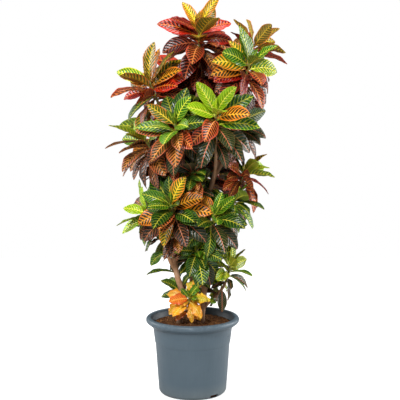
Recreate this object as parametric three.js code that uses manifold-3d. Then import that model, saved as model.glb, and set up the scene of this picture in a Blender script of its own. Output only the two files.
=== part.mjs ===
// A potted croton (Codiaeum variegatum): three woody stems in a nursery pot with a rolled rim, forking into
// branches that each end in a head of broad, pointed leaves set in a close spiral round a green shoot.
// Millimetres, +Z up, +X to the right, -Y to the front. The origin is the middle of the pot's flat underside.

import * as THREE from "three";
import { mergeVertices } from "three/addons/utils/BufferGeometryUtils.js";
import Module from "manifold-3d";

const wasm = await Module();
wasm.setup();

// ---- Driving dimensions ----------------------------------------------------------------------------------

const GAP = 0.4; // between two pieces that touch

const POT = {
  height: 250,
  rimRadius: 150, // over the rolled rim
  rollRadius: 10, // of the rim's round edge
  rollDrop: 26, // from the top of the rim to its lower edge
  mouthRadius: 133,
  shoulderRadius: 128, // outside, under the rim
  shoulderDrop: 82, // where the wide band under the rim ends
  bodyRadius: 119.5, // outside, under that band
  bandStep: 1.6, // how far the band stands out there
  footRadius: 109,
  footRound: 16, // the rounded corner under the wall
  wall: 2.6,
  floor: 4,
  segments: 32,
};
const SLOT = { count: 2, width: 30, height: 10, low: 4, first: -50 }; // drainage slots in the foot's corner
const DRAIN = { count: 4, radius: 7, ring: 58 }; // drainage holes in the floor
const CLIP_HOLE = { radius: 2.2, height: 196, degrees: [-174, -166, -25, -17] }; // for hanger clips
const CUT = 30; // the depth of every cutter, well past the wall

const SOIL = { top: 228, mound: 4, lump: 2.2, edge: 2, rings: 3, segments: 18 };
const FOOT_DEPTH = 110; // how far down the stems' feet reach, from the underside of the pot

const TRUNK = { sides: 8, steps: 10 };
const BRANCH = { fork: 6, sides: 5, steps: 3, outwards: 0.55, pull: 0.35 };
const SHOOT = { base: 4.4, tip: 3.4, sides: 4, bareFoot: 9, bareTip: 3, room: 6 };

const LEAF = {
  turn: 137.508, // degrees between one leaf and the next up the shoot
  youngTilt: 20, // degrees from the shoot's axis, youngest leaf
  oldTilt: 97,
  youngBend: 24, // degrees that the leaf arches over along its length
  oldBend: 64,
  facing: 50, // degrees that a leaf twists to turn its upper face out of the crown
  twisted: 0.35, // by this share of its length it has twisted as far as it does
  crown: [0, 60], // the middle of the crown, to the right and to the back
  root: 2, // from the shoot's axis to where the leaf stalk starts, inside the shoot
  stalkRadius: 1.2,
  thickness: 1.7, // at the midrib
  widest: 0.55, // where along its length it is widest
  roundness: 0.74, // below 1, its sides are fuller
  waves: 13, // how fast the edge waves along it
  large: 140, // a head with leaves at least this long gets the fuller set of sections
  stations: [0, 0.3, 0.6, 0.86], // sections from the shoot to near the leaf's point
  fewStations: [0, 0.36, 0.74],
  clearFrom: 0.12, // nearer the shoot than this, leaves of one head may touch
};

// The room that each leaf keeps from every leaf and stem placed before it, and from the pot and the soil.
const ROOM = { edge: 1.8, above: 1.8, below: 2.2, outsideRim: 8, insideMouth: 14, overSoil: 8 };
const NO_ROOM = { edge: 0, above: 0, below: 0 };
const TRY = { count: 15, turn: 8, tilt: 11, shorter: 0.026 };

// Two places where the foliage stands open and a stem shows: lowest and highest corner, up to the stem.
const OPEN = [
  [[44, -240, 672], [96, -30, 744]],
  [[-70, -220, 352], [-24, -26, 440]],
];

// The three woody stems, from their feet in the soil up to where their leading branch goes on.
const STEMS = {
  left: {
    radii: [11, 6.4],
    route: [
      [-42, -12, FOOT_DEPTH],
      [-42, -12, 236],
      [-33, -10, 322],
      [-50, -6, 385],
      [-60, 0, 460],
      [-62, 8, 600],
      [-68, 10, 700],
      [-78, 4, 790],
    ],
  },
  middle: {
    radii: [11.5, 6.2],
    route: [
      [-6, 26, FOOT_DEPTH],
      [-6, 26, 240],
      [-2, 34, 330],
      [4, 42, 450],
      [8, 42, 600],
      [2, 36, 740],
      [6, 26, 880],
      [20, 12, 985],
    ],
  },
  right: {
    radii: [11, 6.6],
    route: [
      [28, -8, FOOT_DEPTH],
      [28, -8, 236],
      [36, -4, 330],
      [47, -6, 450],
      [50, -12, 560],
      [58, -18, 664],
      [84, -20, 752],
      [106, -8, 840],
    ],
  },
};

// The heads of leaves: name, top of the green shoot, the shoot's slope to the right and to the back, number
// of leaves, their length, the shoot's length, the stem that the head's branch leaves and how many spans up
// that stem's route, and colour.
const HEADS = [
  ["top", [20, -8, 1170], [-0.03, -0.12], 33, 150, 104, "middle", 6.9, 0xa8541f],
  ["right_front", [176, -92, 1059], [0.3, -0.4], 24, 132, 74, "right", 6.9, 0x7f7a22],
  ["right_back", [196, 62, 1117], [0.3, 0.25], 25, 132, 78, "right", 6.4, 0xa4401e],
  ["left_high", [-135, -24, 1004], [-0.4, -0.15], 29, 150, 94, "left", 6.9, 0xb5781e],
  ["centre_front", [72, -150, 910], [0, -0.5], 22, 142, 76, "right", 5.1, 0x8fae26],
  ["left_front", [-52, -142, 877], [-0.15, -0.5], 22, 140, 76, "left", 5.4, 0x76691f],
  ["left_wide", [-150, -50, 827], [-0.6, -0.25], 22, 146, 74, "left", 4.8, 0x83982a],
  ["right_mid", [150, -66, 882], [0.45, -0.3], 18, 126, 60, "right", 5.5, 0x5f8426],
  ["back_high", [-10, 132, 1025], [-0.15, 0.5], 18, 140, 66, "middle", 5.3, 0x9c4f1e],
  ["back_right", [120, 150, 935], [0.35, 0.5], 18, 138, 64, "middle", 4.5, 0x86761f],
  ["back_left", [-112, 138, 835], [-0.4, 0.5], 18, 138, 64, "left", 4.5, 0x6d7f25],
  ["low_front", [-66, -112, 627], [-0.3, -0.5], 20, 138, 70, "left", 3.5, 0x9a6a1e],
  ["low_left", [-142, -26, 590], [-0.6, -0.1], 18, 126, 52, "left", 3.2, 0x5d8a28],
  ["mid_front", [0, -84, 733], [0, -0.5], 16, 124, 56, "left", 4.3, 0x5a5a22],
  ["low_right", [68, -112, 593], [0.3, -0.5], 16, 128, 56, "right", 3.1, 0x4d6a22],
  ["right_arm", [168, -4, 724], [0.45, 0], 14, 116, 52, "right", 4.4, 0x8a5a1e],
  ["right_low", [140, -36, 641], [0.5, -0.2], 13, 120, 50, "right", 3.5, 0x5a7a22],
  ["left_low", [-78, 58, 722], [-0.45, 0.3], 13, 98, 50, "left", 4.1, 0x3f5424],
  ["back_mid", [52, 146, 717], [0.2, 0.55], 16, 132, 58, "middle", 3.3, 0x566c22],
  ["back_low", [-22, 106, 502], [-0.1, 0.45], 15, 122, 54, "middle", 2.0, 0x44602a],
  ["low_middle", [14, -78, 483], [0.1, -0.55], 15, 114, 50, "middle", 2.2, 0x3f6324],
  ["low_centre", [56, 22, 497], [0.18, 0.2], 13, 106, 46, "right", 1.9, 0x37552a],
  ["sprig", [124, -14, 424], [0.3, -0.1], 11, 92, 62, "right", 1.35, 0x7d8c26],
  ["base", [-10, -58, 326], [0.05, -0.5], 19, 84, 40, "left", 1.1, 0xe0a022],
];

const FIRST_SEED = 15013;
const SEED_STEP = 977;

const COLOURS = { pot: 0x5d6f7a, soil: 0x4a2d1c, bark: 0x8a6a4c };

// ---- Small tools -----------------------------------------------------------------------------------------

const radians = THREE.MathUtils.degToRad;
const vector = (list) => new THREE.Vector3(...list);

// A repeatable stream of random numbers: the next draw lies between low and high.
function randomStream(seed) {
  let state = seed;
  const draw = (low, high) => {
    state = (state * 48271) % 2147483647;
    return low + ((high - low) * state) / 2147483647;
  };
  draw(0, 1); // the first draws of neighbouring seeds are alike
  draw(0, 1);
  return draw;
}

function solidOf(geometry) {
  const bare = geometry.clone();
  bare.deleteAttribute("normal");
  bare.deleteAttribute("uv");
  const merged = mergeVertices(bare, 1e-4);
  const made = new wasm.Mesh({
    numProp: 3,
    vertProperties: new Float32Array(merged.attributes.position.array),
    triVerts: new Uint32Array(merged.index.array),
  });
  return new wasm.Manifold(made);
}

function geometryOf(solid) {
  const { vertProperties, triVerts } = solid.getMesh();
  return new THREE.BufferGeometry()
    .setAttribute("position", new THREE.BufferAttribute(vertProperties, 3))
    .setIndex(new THREE.BufferAttribute(triVerts, 1));
}

function geometryFrom(points, faces) {
  return new THREE.BufferGeometry()
    .setAttribute("position", new THREE.Float32BufferAttribute(points.flatMap((p) => p.toArray()), 3))
    .setIndex(faces.flat());
}

// One solid of many, with the loose scraps of a join left out.
function joined(solids) {
  let pile = [...solids];
  while (pile.length > 1) {
    const next = [];
    for (let i = 0; i < pile.length; i += 2) next.push(i + 1 < pile.length ? pile[i].add(pile[i + 1]) : pile[i]);
    pile = next;
  }
  const bodies = pile[0].decompose();
  return bodies.reduce((a, b) => (a.volume() > b.volume() ? a : b));
}

const group = new THREE.Group();

function addPiece(name, geometry, colour, roughness) {
  const material = new THREE.MeshStandardMaterial({ color: colour, roughness, metalness: 0 });
  const mesh = new THREE.Mesh(geometry, material);
  mesh.name = name;
  group.add(mesh);
}

// ---- Pot -------------------------------------------------------------------------------------------------

// The pot is one thin moulded shell. Its outline runs from the middle of the underside, up the outside,
// over the rolled rim and down the inside to the middle of the floor.
function potOutline() {
  const { height, wall, footRadius, footRound, rollRadius, rimRadius } = POT;
  const bandFoot = height - POT.shoulderDrop;
  const line = [[0, 0]];
  for (const degrees of [-90, -45, 0]) {
    const a = radians(degrees);
    line.push([footRadius - footRound + footRound * Math.cos(a), footRound + footRound * Math.sin(a)]);
  }
  line.push([POT.bodyRadius, bandFoot - 4], [POT.bodyRadius + POT.bandStep, bandFoot]);
  line.push([POT.shoulderRadius, height - POT.rollDrop - 2], [rimRadius - 8, height - POT.rollDrop]);
  for (const degrees of [-70, -35, 0, 45, 90, 135]) {
    const a = radians(degrees);
    line.push([rimRadius - rollRadius + rollRadius * Math.cos(a), height - rollRadius + rollRadius * Math.sin(a)]);
  }
  line.push([POT.mouthRadius, height - 8], [POT.shoulderRadius - wall, height - POT.rollDrop - 8]);
  line.push([POT.bodyRadius - wall, bandFoot - 4], [footRadius - wall, footRound + 6]);
  line.push([footRadius - wall - 7, POT.floor], [0, POT.floor]);
  return line.map(([r, z]) => new THREE.Vector2(r, z));
}

// A cutter, moved out to a radius, up to a height and round the pot's axis.
function cutterAt(geometry, radius, degrees, height) {
  return solidOf(geometry.translate(radius, 0, height).rotateZ(radians(degrees)));
}

function potSolid() {
  let pot = solidOf(new THREE.LatheGeometry(potOutline(), POT.segments).rotateX(Math.PI / 2));
  for (let i = 0; i < SLOT.count; i++) {
    const box = new THREE.BoxGeometry(CUT, SLOT.width, SLOT.height);
    const degrees = SLOT.first + (i * 360) / SLOT.count;
    pot = pot.subtract(cutterAt(box, POT.footRadius, degrees, SLOT.low + SLOT.height / 2));
  }
  for (let i = 0; i < DRAIN.count; i++) {
    const drill = new THREE.CylinderGeometry(DRAIN.radius, DRAIN.radius, CUT, 6).rotateX(Math.PI / 2);
    pot = pot.subtract(cutterAt(drill, DRAIN.ring, (i * 360) / DRAIN.count, 0));
  }
  for (const degrees of CLIP_HOLE.degrees) {
    const drill = new THREE.CylinderGeometry(CLIP_HOLE.radius, CLIP_HOLE.radius, CUT, 6).rotateZ(Math.PI / 2);
    pot = pot.subtract(cutterAt(drill, POT.shoulderRadius, degrees, CLIP_HOLE.height));
  }
  return pot;
}

addPiece("pot", geometryOf(potSolid()), COLOURS.pot, 0.55);

// ---- Stems and branches ----------------------------------------------------------------------------------

const heads = HEADS.map(([name, top, lean, leaves, leaf, shoot, stem, spans, colour]) => {
  const tip = vector(top);
  const axis = new THREE.Vector3(lean[0], lean[1], 1).normalize();
  const foot = tip.clone().addScaledVector(axis, -shoot);
  return { name: "head_" + name, tip, axis, foot, leaves, leaf, shoot, stem, spans, colour };
});

function tangentAt(curve, t) {
  const step = 1e-3;
  const ahead = curve.getPoint(Math.min(1, t + step));
  return ahead.sub(curve.getPoint(Math.max(0, t - step))).normalize();
}

// A round, tapering limb along a curve, closed at both ends. No limb here ever points along Y.
function limb(curve, startRadius, endRadius, sides, steps) {
  const points = [];
  const faces = [];
  for (let i = 0; i <= steps; i++) {
    const t = i / steps;
    const along = tangentAt(curve, t);
    const across = new THREE.Vector3(0, 1, 0).cross(along).normalize();
    const other = along.clone().cross(across);
    const radius = startRadius + (endRadius - startRadius) * t;
    for (let k = 0; k < sides; k++) {
      const a = (2 * Math.PI * k) / sides;
      const rim = curve.getPoint(t).addScaledVector(across, radius * Math.cos(a));
      points.push(rim.addScaledVector(other, radius * Math.sin(a)));
    }
  }
  for (let i = 0; i < steps; i++) {
    for (let k = 0; k < sides; k++) {
      const a = i * sides + k;
      const b = i * sides + ((k + 1) % sides);
      faces.push([a, b, b + sides], [a, b + sides, a + sides]);
    }
  }
  const last = steps * sides;
  for (let k = 1; k < sides - 1; k++) faces.push([0, k + 1, k], [last, last + k, last + k + 1]);
  return geometryFrom(points, faces);
}

const stemCurve = (stem) => new THREE.CatmullRomCurve3(stem.route.map(vector), false, "catmullrom");

// A head's branch rises from its stem, bends outwards and ends in line with the head's green shoot.
function branchCurve(head) {
  const stem = STEMS[head.stem];
  const curve = stemCurve(stem);
  const t = head.spans / (stem.route.length - 1);
  const start = curve.getPoint(t);
  const end = head.foot.clone().addScaledVector(head.axis, -GAP);
  const reach = start.distanceTo(end) * BRANCH.pull;
  const outwards = end.clone().sub(start).setZ(0).normalize();
  const leave = tangentAt(curve, t).addScaledVector(outwards, BRANCH.outwards).normalize();
  const first = start.clone().addScaledVector(leave, reach);
  const second = end.clone().addScaledVector(head.axis, -reach);
  return new THREE.CubicBezierCurve3(start, first, second, end);
}

const trunkLimb = (stem) => limb(stemCurve(stem), stem.radii[0], stem.radii[1], TRUNK.sides, TRUNK.steps);
const branchLimb = (head) => limb(branchCurve(head), BRANCH.fork, SHOOT.base, BRANCH.sides, BRANCH.steps);
const shootCurve = (head) => new THREE.LineCurve3(head.foot, head.tip);
const shootLimb = (head, room) => limb(shootCurve(head), SHOOT.base + room, SHOOT.tip + room, SHOOT.sides, 1);

for (const [name, stem] of Object.entries(STEMS)) {
  const branches = heads.filter((head) => head.stem === name).map((head) => solidOf(branchLimb(head)));
  addPiece("stem_" + name, geometryOf(joined([solidOf(trunkLimb(stem)), ...branches])), COLOURS.bark, 0.8);
}

// ---- Soil ------------------------------------------------------------------------------------------------

// The potting mix fills the pot to a low, lumpy mound, with a plain hole round the foot of each stem.
function soilSolid() {
  const topRadius = POT.shoulderRadius - POT.wall - SOIL.edge;
  const outline = [
    [0, POT.floor + GAP],
    [POT.footRadius - POT.wall - 7 - GAP * 2, POT.floor + GAP],
    [POT.footRadius - POT.wall - GAP * 2, POT.footRound + 6],
    [POT.bodyRadius - POT.wall - GAP * 2, POT.height - POT.shoulderDrop - 4],
    [topRadius, SOIL.top - 4],
  ];
  for (let ring = SOIL.rings; ring >= 0; ring--) {
    const share = ring / (SOIL.rings + 0.6);
    outline.push([topRadius * share, SOIL.top + SOIL.mound * (1 - share * share)]);
  }
  const turned = new THREE.LatheGeometry(outline.map(([r, z]) => new THREE.Vector2(r, z)), SOIL.segments);
  const soil = turned.rotateX(Math.PI / 2);
  const places = soil.attributes.position;
  for (let i = 0; i < places.count; i++) {
    const [x, y, z] = [places.getX(i), places.getY(i), places.getZ(i)];
    const lump = SOIL.lump * (Math.sin(x * 0.23 + y * 0.11) + Math.sin(y * 0.29 - x * 0.07));
    if (z >= SOIL.top) places.setZ(i, z + lump);
  }
  let solid = solidOf(soil);
  for (const stem of Object.values(STEMS)) {
    const [x, y] = stem.route[0];
    const radius = stem.radii[0] + GAP * 3;
    const length = POT.height - FOOT_DEPTH;
    const hole = new THREE.CylinderGeometry(radius, radius, length, 12).rotateX(Math.PI / 2);
    solid = solid.subtract(solidOf(hole.translate(x, y, FOOT_DEPTH + length / 2 - GAP)));
  }
  return solid;
}

addPiece("soil", geometryOf(soilSolid()), COLOURS.soil, 1);

// ---- Leaves ----------------------------------------------------------------------------------------------

// What one leaf of a head is like. Age runs from 0, the youngest leaf at the tip, to 1, the oldest. Angles
// are in degrees; width is a share of the length; wave is how far the edge leaves its smooth line.
function leafPlan(head, index, draw) {
  const age = index / (head.leaves - 1);
  const youth = Math.max(0, 1 - 4 * age);
  return {
    down: SHOOT.bareTip + (head.shoot - SHOOT.bareTip - SHOOT.bareFoot) * age,
    turn: LEAF.turn * index + draw(-9, 9),
    tilt: LEAF.youngTilt + (LEAF.oldTilt - LEAF.youngTilt) * age + draw(-7, 7),
    length: head.leaf * (1 - 0.22 * youth - 0.08 * age) * draw(0.9, 1.06),
    width: draw(0.37, 0.49),
    bend: LEAF.youngBend + (LEAF.oldBend - LEAF.youngBend) * age + draw(-9, 12),
    roll: draw(-22, 22),
    fold: draw(5, 11),
    wave: draw(0.5, 1.8),
    phase: draw(0, 6.28),
  };
}

// Where the leaf's midrib, side and face are at a share u of its length. The leaf arches over in a plane
// through the shoot's axis. Its upper face looks up and in towards the tip of the shoot, and near its stalk
// it twists to turn that face out of the crown, to the light.
function leafFrame(head, plan, change, u) {
  const turn = radians(plan.turn + change.turn);
  const flat = new THREE.Vector3(1, 0, -head.axis.x / head.axis.z).normalize();
  const side = head.axis.clone().cross(flat);
  const out = flat.multiplyScalar(Math.cos(turn)).addScaledVector(side, Math.sin(turn));
  const start = radians(plan.tilt + change.tilt);
  const bend = radians(plan.bend);
  const now = start + bend * u;
  const length = plan.length * change.scale;
  const rise = (length / bend) * (Math.sin(now) - Math.sin(start));
  const run = (length / bend) * (Math.cos(start) - Math.cos(now));
  const root = head.tip.clone().addScaledVector(head.axis, -plan.down).addScaledVector(out, LEAF.root);
  const middle = root.addScaledVector(head.axis, rise).addScaledVector(out, run);
  const level = head.axis.clone().cross(out);
  const upper = head.axis.clone().multiplyScalar(Math.sin(now)).addScaledVector(out, -Math.cos(now));
  const outwards = new THREE.Vector3(head.tip.x - LEAF.crown[0], head.tip.y - LEAF.crown[1], 0).normalize();
  const roll = radians(plan.roll - LEAF.facing * outwards.dot(level)) * Math.min(1, u / LEAF.twisted);
  const across = level.clone().multiplyScalar(Math.cos(roll)).addScaledVector(upper, Math.sin(roll));
  const face = upper.multiplyScalar(Math.cos(roll)).addScaledVector(level, -Math.sin(roll));
  return { middle, across, face, length };
}

// Half the leaf's width, as a share of its full width, at a share u of its length: a long oval with a
// wedge-shaped foot and a blunt point.
function halfWidth(u) {
  const foot = (LEAF.roundness * LEAF.widest) / (1 - LEAF.widest);
  const shape = (v) => Math.pow(v, foot) * Math.pow(1 - v, LEAF.roundness);
  return (0.5 * shape(u)) / shape(LEAF.widest);
}

// A leaf's corners: left edge, right edge and keel at each station, then its point. room widens and
// thickens it, to keep a clear space round it.
function leafCorners(head, plan, change, stations, room) {
  const points = [];
  for (const u of stations) {
    const { middle, across, face, length } = leafFrame(head, plan, change, u);
    const stalk = u === 0;
    const half = Math.max(LEAF.stalkRadius, plan.width * length * halfWidth(u)) + room.edge;
    const lift = stalk ? 0 : half * Math.tan(radians(plan.fold));
    for (const hand of [-1, 1]) {
      const ripple = stalk ? 0 : plan.wave * Math.sin(LEAF.waves * u + plan.phase + hand);
      const edge = middle.clone().addScaledVector(across, hand * half);
      points.push(edge.addScaledVector(face, lift + ripple + room.above));
    }
    points.push(middle.addScaledVector(face, stalk ? -2 * LEAF.stalkRadius : -LEAF.thickness - room.below));
  }
  points.push(leafFrame(head, plan, change, 1).middle);
  return points;
}

function leafFaces(stationCount) {
  const faces = [[0, 1, 2]];
  for (let i = 0; i < stationCount - 1; i++) {
    for (const k of [0, 1, 2]) {
      const a = 3 * i + k;
      const b = 3 * i + ((k + 1) % 3);
      if (k === 2) faces.push([a, b + 3, b], [a, a + 3, b + 3]);
      else faces.push([a, a + 3, b], [b, a + 3, b + 3]);
    }
  }
  const point = 3 * stationCount;
  for (const k of [0, 1, 2]) faces.push([point - 3 + k, point, point - 3 + ((k + 1) % 3)]);
  return faces;
}

// ---- Keeping leaves clear of each other ------------------------------------------------------------------

// A closed surface as flat lists of triangles and edges, with its box and the head that may touch it.
function surfaceOf(geometry, owner) {
  const at = (i) => new THREE.Vector3().fromBufferAttribute(geometry.attributes.position, i).toArray();
  const index = [...geometry.index.array];
  const triangles = [];
  const edges = [];
  for (let i = 0; i < index.length; i += 3) {
    const corners = index.slice(i, i + 3);
    triangles.push(corners.flatMap(at));
    corners.forEach((a, k) => {
      const b = corners[(k + 1) % 3];
      if (a < b) edges.push([...at(a), ...at(b)]);
    });
  }
  const box = new THREE.Box3().setFromBufferAttribute(geometry.attributes.position);
  return { triangles, edges, box, owner };
}

// Whether a line from one point to another goes through a triangle.
function pierces([px, py, pz, qx, qy, qz], [ax, ay, az, bx, by, bz, cx, cy, cz]) {
  const [dx, dy, dz] = [qx - px, qy - py, qz - pz];
  const [ex, ey, ez] = [bx - ax, by - ay, bz - az];
  const [fx, fy, fz] = [cx - ax, cy - ay, cz - az];
  const [hx, hy, hz] = [dy * fz - dz * fy, dz * fx - dx * fz, dx * fy - dy * fx];
  const size = ex * hx + ey * hy + ez * hz;
  if (Math.abs(size) < 1e-9) return false;
  const [sx, sy, sz] = [px - ax, py - ay, pz - az];
  const u = (sx * hx + sy * hy + sz * hz) / size;
  if (u < 0 || u > 1) return false;
  const [gx, gy, gz] = [sy * ez - sz * ey, sz * ex - sx * ez, sx * ey - sy * ex];
  const v = (dx * gx + dy * gy + dz * gz) / size;
  if (v < 0 || u + v > 1) return false;
  const t = (fx * gx + fy * gy + fz * gz) / size;
  return t >= 0 && t <= 1;
}

function meet(a, b) {
  if (!a.box.intersectsBox(b.box)) return false;
  const through = (one, two) => one.edges.some((e) => two.triangles.some((t) => pierces(e, t)));
  return through(a, b) || through(b, a);
}

// Low leaves stay out of the pot's wall and soil, but may hang inside its mouth or outside its rim.
function clearOfPot(points) {
  return points.every((p) => {
    const radius = Math.hypot(p.x, p.y);
    if (p.z > POT.height + ROOM.overSoil || radius > POT.rimRadius + ROOM.outsideRim) return true;
    return radius < POT.mouthRadius - ROOM.insideMouth && p.z > SOIL.top + SOIL.mound + ROOM.overSoil;
  });
}

// The small changes tried in turn until a leaf has its own room: turned aside, lifted or lowered, shorter.
function changeFor(attempt) {
  const hand = attempt % 2 === 0 ? 1 : -1;
  const turn = hand * TRY.turn * Math.ceil((attempt % 7) / 2);
  const tilt = hand * TRY.tilt * Math.ceil((attempt % 5) / 2);
  return { turn, tilt, scale: 1 - TRY.shorter * attempt };
}

function boxSolid([low, high]) {
  const size = vector(high).sub(vector(low));
  const middle = vector(low).addScaledVector(size, 0.5);
  return solidOf(new THREE.BoxGeometry(...size.toArray()).translate(...middle.toArray()));
}

const obstacles = Object.values(STEMS).map((stem) => surfaceOf(trunkLimb(stem), null));
obstacles.push(...OPEN.map((corners) => surfaceOf(geometryOf(boxSolid(corners)), null)));
for (const head of heads) {
  obstacles.push(surfaceOf(branchLimb(head), null), surfaceOf(shootLimb(head, SHOOT.room), head));
}

const stationsOf = (head) => (head.leaf >= LEAF.large ? LEAF.stations : LEAF.fewStations);

function placeLeaves(head, seed) {
  const draw = randomStream(seed);
  const kept = [];
  const stations = [LEAF.clearFrom, ...stationsOf(head).slice(1)];
  const faces = leafFaces(stations.length);
  for (let index = 0; index < head.leaves; index++) {
    const plan = leafPlan(head, index, draw);
    for (let attempt = 0; attempt < TRY.count; attempt++) {
      const change = changeFor(attempt);
      const corners = leafCorners(head, plan, change, stations, ROOM);
      const blade = surfaceOf(geometryFrom(corners, faces), null);
      const crossed = (other) => other.owner !== head && meet(blade, other);
      if (!clearOfPot(corners) || obstacles.some(crossed)) continue;
      obstacles.push(blade);
      kept.push({ plan, change });
      break;
    }
  }
  return kept;
}

heads.forEach((head, order) => {
  const stations = stationsOf(head);
  const faces = leafFaces(stations.length);
  const leaves = placeLeaves(head, FIRST_SEED + SEED_STEP * order).map(({ plan, change }) =>
    solidOf(geometryFrom(leafCorners(head, plan, change, stations, NO_ROOM), faces)),
  );
  addPiece(head.name, geometryOf(joined([solidOf(shootLimb(head, 0)), ...leaves])), head.colour, 0.45);
});

export default group;
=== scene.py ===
# A potted croton (Codiaeum variegatum): three woody stems in a nursery pot, with two dozen heads of thick,
# glossy leaves. The plant's sizes are in millimetres, and MM turns them into Blender's metres. The shaders,
# the lamps and the camera are in metres.
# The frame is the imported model's: +Z up, -Y to the front, the origin in the middle of the pot's underside.

import math

import bmesh
import bpy
import numpy as np
from mathutils import Matrix, Vector, noise


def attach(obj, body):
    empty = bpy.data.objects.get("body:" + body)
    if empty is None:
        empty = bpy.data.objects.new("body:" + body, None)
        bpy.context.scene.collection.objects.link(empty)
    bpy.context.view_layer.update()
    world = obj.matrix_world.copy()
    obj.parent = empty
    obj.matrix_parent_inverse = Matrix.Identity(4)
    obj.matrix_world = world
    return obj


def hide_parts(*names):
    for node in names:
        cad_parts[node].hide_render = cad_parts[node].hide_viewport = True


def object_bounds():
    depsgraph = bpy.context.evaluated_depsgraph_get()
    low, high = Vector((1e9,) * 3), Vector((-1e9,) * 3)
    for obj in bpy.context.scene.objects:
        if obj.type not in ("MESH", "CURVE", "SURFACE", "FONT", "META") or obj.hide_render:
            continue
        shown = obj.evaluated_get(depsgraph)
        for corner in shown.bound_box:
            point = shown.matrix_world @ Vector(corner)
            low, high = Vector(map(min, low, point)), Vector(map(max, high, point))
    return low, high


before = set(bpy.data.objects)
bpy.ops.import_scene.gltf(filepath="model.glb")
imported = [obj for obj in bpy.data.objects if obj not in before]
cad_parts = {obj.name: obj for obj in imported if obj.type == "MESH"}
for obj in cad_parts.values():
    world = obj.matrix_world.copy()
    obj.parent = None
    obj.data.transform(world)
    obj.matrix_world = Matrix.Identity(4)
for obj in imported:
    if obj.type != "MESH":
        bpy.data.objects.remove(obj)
cad_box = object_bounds()

# ---- Pot -------------------------------------------------------------------------------------------------
# One thin shell of polypropylene, injection moulded: a rolled rim to carry it by, a wide band under the rim
# where pots nest, a tapering wall, drainage slots at the foot and small holes that hangers clip into.

MM = 0.001

POT_HEIGHT = 250
RIM_RADIUS = 150
ROLL_RADIUS = 10
RIM_FOOT = 224
MOUTH_RADIUS = 133
SHOULDER_RADIUS = 128
BAND_FOOT = 168
BODY_RADIUS = 119.5
BAND_STEP = 1.6
FOOT_RADIUS = 109
FOOT_ROUND = 16
WALL = 2.6
FLOOR = 4
POT_SEGMENTS = 160
CUT = 30
SLOT_TURN = -50
SLOT_HEIGHT = 9
SLOT_SIZE = (30, 10)
DRAIN_REACH = 58
DRAIN_RADIUS = 7
CLIP_TURNS = (-174, -166, -25, -17)
CLIP_HEIGHT = 196
CLIP_RADIUS = 2.2


def linear(colour):
    """An sRGB colour written as six hex digits, as the linear red, green, blue and alpha of a shader."""
    shares = [int(colour[i : i + 2], 16) / 255 for i in (0, 2, 4)]
    return [s / 12.92 if s <= 0.04045 else ((s + 0.055) / 1.055) ** 2.4 for s in shares] + [1]


def connect(tree, source, socket):
    """Links a socket to another, or to the first output that a node has in use."""
    if not isinstance(source, bpy.types.NodeSocket):
        source = next(output for output in source.outputs if output.enabled)
    tree.links.new(source, socket)


def add(tree, kind, settings=None, links=None):
    """A node of some kind and way of working, with its settings and its links.

    A setting is a property, a socket or a range. Six hex digits on a socket are a colour.
    """
    kind, *way = kind.split()
    node = tree.nodes.new("ShaderNode" + kind)
    if way:
        setattr(node, {"Mix": "data_type", "MapRange": "interpolation_type"}.get(kind, "operation"), way[0])
    for key, value in (settings or {}).items():
        if key in ("From", "To"):
            node.inputs[key + " Min"].default_value, node.inputs[key + " Max"].default_value = value
        elif isinstance(key, str) and hasattr(node, key):
            setattr(node, key, value)
        else:
            node.inputs[key].default_value = linear(value) if isinstance(value, str) else value
    for key, source in (links or {}).items():
        connect(tree, source, node.inputs[key])
    return node


def finish(name, settings):
    """A material of one shader, with the sockets that are the same all over."""
    material = bpy.data.materials.new(name)
    material.use_nodes = True
    shader = material.node_tree.nodes["Principled BSDF"]
    for socket, value in settings.items():
        shader.inputs[socket].default_value = value
    return material, material.node_tree, shader


def coat(tree, shader, colour, roughness, relief):
    """Leads a finish's colour, roughness and bumps to its shader."""
    for socket, source in {"Base Color": colour, "Roughness": roughness, "Normal": relief}.items():
        connect(tree, source, shader.inputs[socket])


def place(mesh, name, materials, slot, replaced=()):
    """A mesh as a piece of the plant: its finish, the body it rides on and the nodes it stands for."""
    piece = bpy.data.objects.new(name, mesh)
    bpy.context.scene.collection.objects.link(piece)
    for material in materials:
        mesh.materials.append(material)
    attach(piece, "root")
    if replaced:
        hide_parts(*replaced)
    return piece


def arc(radius, height, bend, first, last, steps):
    """Points of an outline's rounded corner, by its centre, its radius and its angles in degrees."""
    angles = [math.radians(first + (last - first) * i / steps) for i in range(steps + 1)]
    return [(radius + bend * math.cos(a), height + bend * math.sin(a)) for a in angles]


def skin(made, rings):
    """Faces between each closed ring of points and the next."""
    for lower, upper in zip(rings, rings[1:]):
        for k in range(len(lower)):
            n = (k + 1) % len(lower)
            made.faces.new(dict.fromkeys([lower[k], lower[n], upper[n], upper[k]]))


def turned(outline, segments):
    """A bmesh of an outline turned round the Z axis; a point on the axis is one vertex."""
    made = bmesh.new()
    rings = []
    for radius, height in outline:
        if radius == 0:
            rings.append([made.verts.new((0, 0, height * MM))] * segments)
            continue
        angles = [2 * math.pi * k / segments for k in range(segments)]
        r, z = radius * MM, height * MM
        rings.append([made.verts.new((r * math.cos(a), r * math.sin(a), z)) for a in angles])
    skin(made, rings)
    return made


def mesh_from(made, name, sharp=40):
    """A mesh from a bmesh, shaded smooth but for its sharp edges."""
    bmesh.ops.recalc_face_normals(made, faces=made.faces)
    mesh = bpy.data.meshes.new(name)
    made.to_mesh(mesh)
    made.free()
    mesh.shade_smooth()
    mesh.set_sharp_from_angle(angle=math.radians(sharp))
    return mesh


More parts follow.
